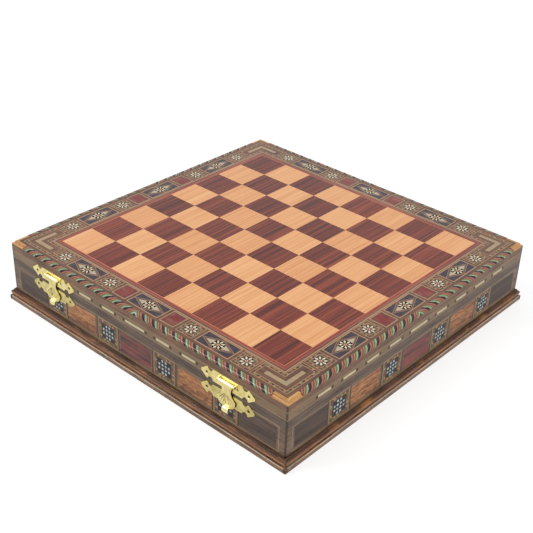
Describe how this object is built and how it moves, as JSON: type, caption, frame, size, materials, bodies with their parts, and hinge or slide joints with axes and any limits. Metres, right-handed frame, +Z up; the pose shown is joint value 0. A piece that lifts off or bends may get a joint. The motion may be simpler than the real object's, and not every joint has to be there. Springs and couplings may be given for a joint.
{
  "type": "game box",
  "caption": "Square inlaid wooden box whose hinged lid is a chequered board, with brass latches, a moulded plinth and storage cells under the lid.",
  "frame": {"origin": "on the table at the middle of the footprint", "axes": "+Z up, -Y the front with the two latches, +Y the back with the hinges, +X to the right seen from the front"},
  "size_m": [0.4092, 0.4092, 0.074],
  "materials": {
    "walnut": "satin lacquer",
    "plinth_wood": "gloss lacquer",
    "maple": "gloss lacquer",
    "rosewood": "gloss lacquer",
    "pale_stringing": "satin",
    "mosaic": "gloss lacquer",
    "ebony": "gloss lacquer",
    "bone": "polished",
    "burl": "gloss lacquer",
    "velvet": "soft pile",
    "plain_board": "matt",
    "brass": "polished"
  },
  "bodies": {
    "base": {"base_front_wall": "walnut", "base_back_wall": "walnut", "base_left_wall": "walnut", "base_right_wall": "walnut", "bottom_panel": "plain_board", "plinth_front": "plinth_wood", "plinth_back": "plinth_wood", "plinth_left": "plinth_wood", "plinth_right": "plinth_wood", "floor_lining": "velvet", "long_divider": "walnut", "left_cross_divider": "walnut", "middle_cross_divider": "walnut", "right_cross_divider": "walnut", "side_plain_panels": "walnut", "side_burl_panels": "burl", "side_mosaic_panels": "mosaic", "side_red_panels": "rosewood", "side_light_lines": "pale_stringing", "left_hinge_base_leaf": "brass", "right_hinge_base_leaf": "brass", "hinge_pins": "brass", "hinge_base_screws": "brass", "left_latch_base_plate": "brass", "right_latch_base_plate": "brass", "catch_studs": "brass", "latch_base_screws": "brass"},
    "lid": {"lid_front_rail": "walnut", "lid_back_rail": "walnut", "lid_left_rail": "walnut", "lid_right_rail": "walnut", "lid_board": "plain_board", "lid_lining": "velvet", "light_squares": "maple", "dark_squares": "rosewood", "field_light_line": "pale_stringing", "field_red_line": "rosewood", "field_pink_line": "pale_stringing", "border_veneer": "walnut", "star_tiles": "mosaic", "diamond_tiles": "ebony", "red_tiles": "rosewood", "corner_tiles": "mosaic", "corner_chevrons": "bone", "edge_banding": "mosaic", "corner_blocks": "maple", "side_dashes": "bone", "left_hinge_lid_leaf": "brass", "right_hinge_lid_leaf": "brass", "hinge_lid_screws": "brass", "left_latch_lid_plate": "brass", "right_latch_lid_plate": "brass", "hasp_pins": "brass", "latch_lid_screws": "brass"},
    "left_hasp": {"left_hasp": "brass", "left_knob": "brass"},
    "right_hasp": {"right_hasp": "brass", "right_knob": "brass"}
  },
  "joints": [
    {"name": "lid_hinge", "type": "hinge", "parent": "base", "child": "lid", "pos_m": [0, 0.2016, 0.0487], "axis": [-1, 0, 0], "range_deg": [0, 100]},
    {"name": "left_hasp_swing", "type": "hinge", "parent": "lid", "child": "left_hasp", "pos_m": [-0.1275, -0.20155, 0.0591], "axis": [-1, 0, 0], "range_deg": [0, 170]},
    {"name": "right_hasp_swing", "type": "hinge", "parent": "lid", "child": "right_hasp", "pos_m": [0.1275, -0.20155, 0.0591], "axis": [-1, 0, 0], "range_deg": [0, 170]}
  ]
}
